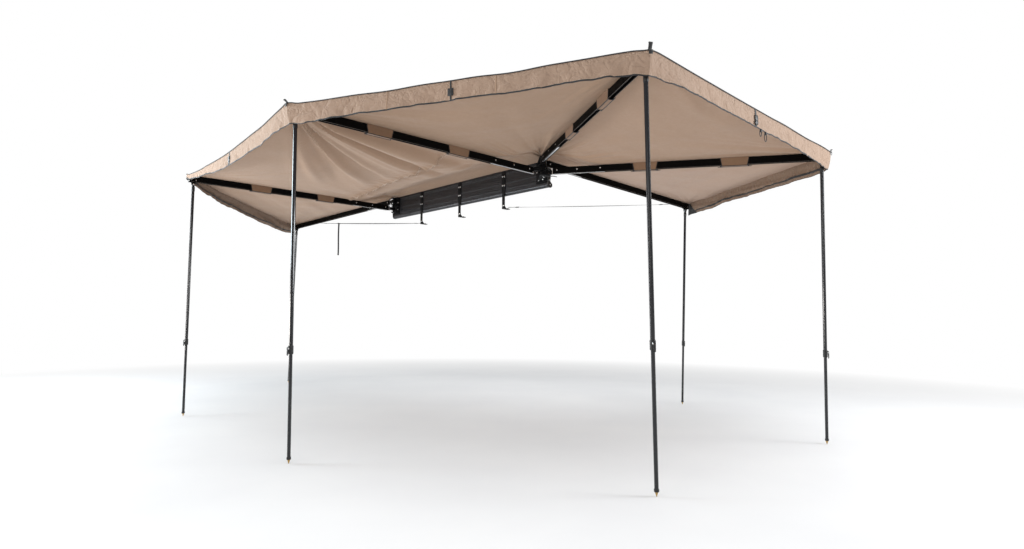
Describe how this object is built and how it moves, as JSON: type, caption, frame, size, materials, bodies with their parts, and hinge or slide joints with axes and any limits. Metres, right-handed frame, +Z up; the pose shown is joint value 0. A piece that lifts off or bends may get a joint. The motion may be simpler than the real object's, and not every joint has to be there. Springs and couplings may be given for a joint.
{
  "type": "vehicle side awning",
  "caption": "Fold-out vehicle side awning: canvas canopy on hinged arms that fan out from a wall plate, each arm on a telescopic pole.",
  "frame": {"origin": "centre of the underside of the middle mount bracket's foot", "axes": "+Z up, +Y towards the front of the vehicle along the backing plate, -X away from the vehicle"},
  "size_m": [4.1503, 6.3338, 2.2056],
  "materials": {
    "charcoal_extrusion": "satin charcoal anodised extrusion",
    "black_coated_steel": "black powder coat",
    "black_coated_aluminium": "black coated",
    "bare_aluminium": "bare, drawn",
    "black_anodised_aluminium": "black anodised tube",
    "zinc_steel": "zinc plated",
    "bronze": "bronze coloured",
    "black_plastic": "moulded",
    "canopy_canvas": "tan ripstop canvas",
    "bag_fabric": "black coated fabric",
    "black_webbing": "woven webbing"
  },
  "bodies": {
    "root": {"backing_plate": "charcoal_extrusion", "rear_end_cap": "black_plastic", "front_hinge_bracket": "black_coated_steel", "rear_hub_bracket": "black_coated_steel", "front_hinge_pin": "zinc_steel", "rear_hub_pin": "zinc_steel", "mount_bracket_rear": "black_coated_steel", "mount_bracket_middle": "black_coated_steel", "mount_bracket_front": "black_coated_steel", "stow_bag": "bag_fabric", "canopy_panel_main": "canopy_canvas"},
    "arm_0": {"arm_0_channel": "black_coated_aluminium", "arm_0_knuckle": "bare_aluminium", "arm_0_tip": "black_coated_aluminium", "front_strap": "black_webbing", "front_strap_tail": "black_webbing"},
    "pole_0": {"pole_0_upper": "black_anodised_aluminium", "pole_0_clamp": "black_plastic"},
    "pole_0_extension": {"pole_0_lower": "black_anodised_aluminium", "pole_0_foot": "bronze"},
    "arm_1": {"arm_1_channel": "black_coated_aluminium", "arm_1_knuckle": "bare_aluminium", "arm_1_tip": "black_coated_aluminium", "canopy_panel_front": "canopy_canvas"},
    "pole_1": {"pole_1_upper": "black_anodised_aluminium", "pole_1_clamp": "black_plastic"},
    "pole_1_extension": {"pole_1_lower": "black_anodised_aluminium", "pole_1_foot": "bronze"},
    "arm_2": {"arm_2_channel": "black_coated_aluminium", "arm_2_knuckle": "bare_aluminium", "arm_2_tip": "black_coated_aluminium", "canopy_panel_rear_outer": "canopy_canvas"},
    "pole_2": {"pole_2_upper": "black_anodised_aluminium", "pole_2_clamp": "black_plastic"},
    "pole_2_extension": {"pole_2_lower": "black_anodised_aluminium", "pole_2_foot": "bronze"},
    "arm_3": {"arm_3_channel": "black_coated_aluminium", "arm_3_knuckle": "bare_aluminium", "arm_3_tip": "black_coated_aluminium", "canopy_panel_rear": "canopy_canvas"},
    "pole_3": {"pole_3_upper": "black_anodised_aluminium", "pole_3_clamp": "black_plastic"},
    "pole_3_extension": {"pole_3_lower": "black_anodised_aluminium", "pole_3_foot": "bronze"},
    "arm_4": {"arm_4_channel": "black_coated_aluminium", "arm_4_knuckle": "bare_aluminium", "arm_4_tip": "black_coated_aluminium", "canopy_panel_rear_inner": "canopy_canvas"},
    "pole_4": {"pole_4_upper": "black_anodised_aluminium", "pole_4_clamp": "black_plastic"},
    "pole_4_extension": {"pole_4_lower": "black_anodised_aluminium", "pole_4_foot": "bronze"},
    "arm_5": {"arm_5_channel": "black_coated_aluminium", "arm_5_knuckle": "bare_aluminium", "arm_5_tip": "black_coated_aluminium", "rear_strap": "black_webbing"},
    "pole_5": {"pole_5_upper": "black_anodised_aluminium", "pole_5_clamp": "black_plastic"},
    "pole_5_extension": {"pole_5_lower": "black_anodised_aluminium", "pole_5_foot": "bronze"}
  },
  "joints": [
    {"name": "fan_fold", "type": "hinge", "parent": "root", "child": "arm_2", "pos_m": [-0.171, -1.273, 0.205], "axis": [0, 0, 1], "range_deg": [-88.52, 0], "deforming": ["canopy_panel_main"]},
    {"name": "front_fold", "type": "hinge", "parent": "root", "child": "arm_1", "pos_m": [-0.075, 1.127, 0.205], "axis": [0, 0, -1], "range_deg": [-89.33, 0], "deforming": ["canopy_panel_main"]},
    {"name": "arm_3_hinge", "type": "hinge", "parent": "arm_2", "child": "arm_3", "pos_m": [-0.171, -1.273, 0.205], "axis": [0, 0, 1], "range_deg": [-61.12, 0], "deforming": ["canopy_panel_rear_outer"]},
    {"name": "arm_4_hinge", "type": "hinge", "parent": "arm_3", "child": "arm_4", "pos_m": [-0.171, -1.273, 0.205], "axis": [0, 0, 1], "range_deg": [-58.2, 0], "deforming": ["canopy_panel_rear"]},
    {"name": "arm_5_hinge", "type": "hinge", "parent": "arm_4", "child": "arm_5", "pos_m": [-0.171, -1.273, 0.205], "axis": [0, 0, 1], "range_deg": [-59.77, 0], "deforming": ["canopy_panel_rear_inner", "rear_strap"]},
    {"name": "arm_0_hinge", "type": "hinge", "parent": "arm_1", "child": "arm_0", "pos_m": [-0.075, 1.127, 0.205], "axis": [0, 0, -1], "range_deg": [-84.53, 0], "deforming": ["canopy_panel_front", "front_strap", "front_strap_tail"]},
    {"name": "pole_0_fold", "type": "hinge", "parent": "arm_0", "child": "pole_0", "pos_m": [-0.27776, 3.15778, 0.15405], "axis": [0.9941, 0.106, -0.025], "range_deg": [-92.6, 0]},
    {"name": "pole_0_slide", "type": "slide", "parent": "pole_0", "child": "pole_0_extension", "axis": [-0.0248, -0.0027, -0.9997], "range_m": [-0.54, 0.25]},
    {"name": "pole_1_fold", "type": "hinge", "parent": "arm_1", "child": "pole_1", "pos_m": [-2.12212, 1.087, 0.168], "axis": [-0.0118, 0.9996, -0.025], "range_deg": [-90.2, 0]},
    {"name": "pole_1_slide", "type": "slide", "parent": "pole_1", "child": "pole_1_extension", "axis": [-0.0072, -0.0251, -0.9997], "range_m": [-0.54, 0.25]},
    {"name": "pole_2_fold", "type": "hinge", "parent": "arm_2", "child": "pole_2", "pos_m": [-2.19023, -1.17297, 0.21502], "axis": [0.0251, 0.9994, -0.025], "range_deg": [-88.3, 0]},
    {"name": "pole_2_slide", "type": "slide", "parent": "pole_2", "child": "pole_2_extension", "axis": [0.0023, -0.0251, -0.9997], "range_m": [-0.54, 0.25]},
    {"name": "pole_3_fold", "type": "hinge", "parent": "arm_3", "child": "pole_3", "pos_m": [-1.20602, -3.00804, 0.251], "axis": [-0.8626, 0.5053, -0.025], "range_deg": [-86.3, 0]},
    {"name": "pole_3_slide", "type": "slide", "parent": "pole_3", "child": "pole_3_extension", "axis": [0.0272, -0.0031, -0.9996], "range_m": [-0.54, 0.25]},
    {"name": "pole_4_fold", "type": "hinge", "parent": "arm_4", "child": "pole_4", "pos_m": [0.79151, -3.06208, 0.11901], "axis": [-0.8843, -0.4662, -0.025], "range_deg": [-91, 0]},
    {"name": "pole_4_slide", "type": "slide", "parent": "pole_4", "child": "pole_4_extension", "axis": [0.0202, 0.0153, -0.9997], "range_m": [-0.54, 0.25]},
    {"name": "pole_5_fold", "type": "hinge", "parent": "arm_5", "child": "pole_5", "pos_m": [1.84625, -1.30988, 0.13308], "axis": [-0.0435, -0.9987, -0.025], "range_deg": [-89.9, 0]},
    {"name": "pole_5_slide", "type": "slide", "parent": "pole_5", "child": "pole_5_extension", "axis": [-0.0056, 0.0252, -0.9997], "range_m": [-0.54, 0.25]}
  ],
  "couplings": [
    {"joint": "arm_3_hinge", "follows": "fan_fold", "ratio": 0.69034},
    {"joint": "arm_4_hinge", "follows": "fan_fold", "ratio": 0.65737},
    {"joint": "arm_5_hinge", "follows": "fan_fold", "ratio": 0.67508},
    {"joint": "arm_0_hinge", "follows": "front_fold", "ratio": 0.94619}
  ]
}
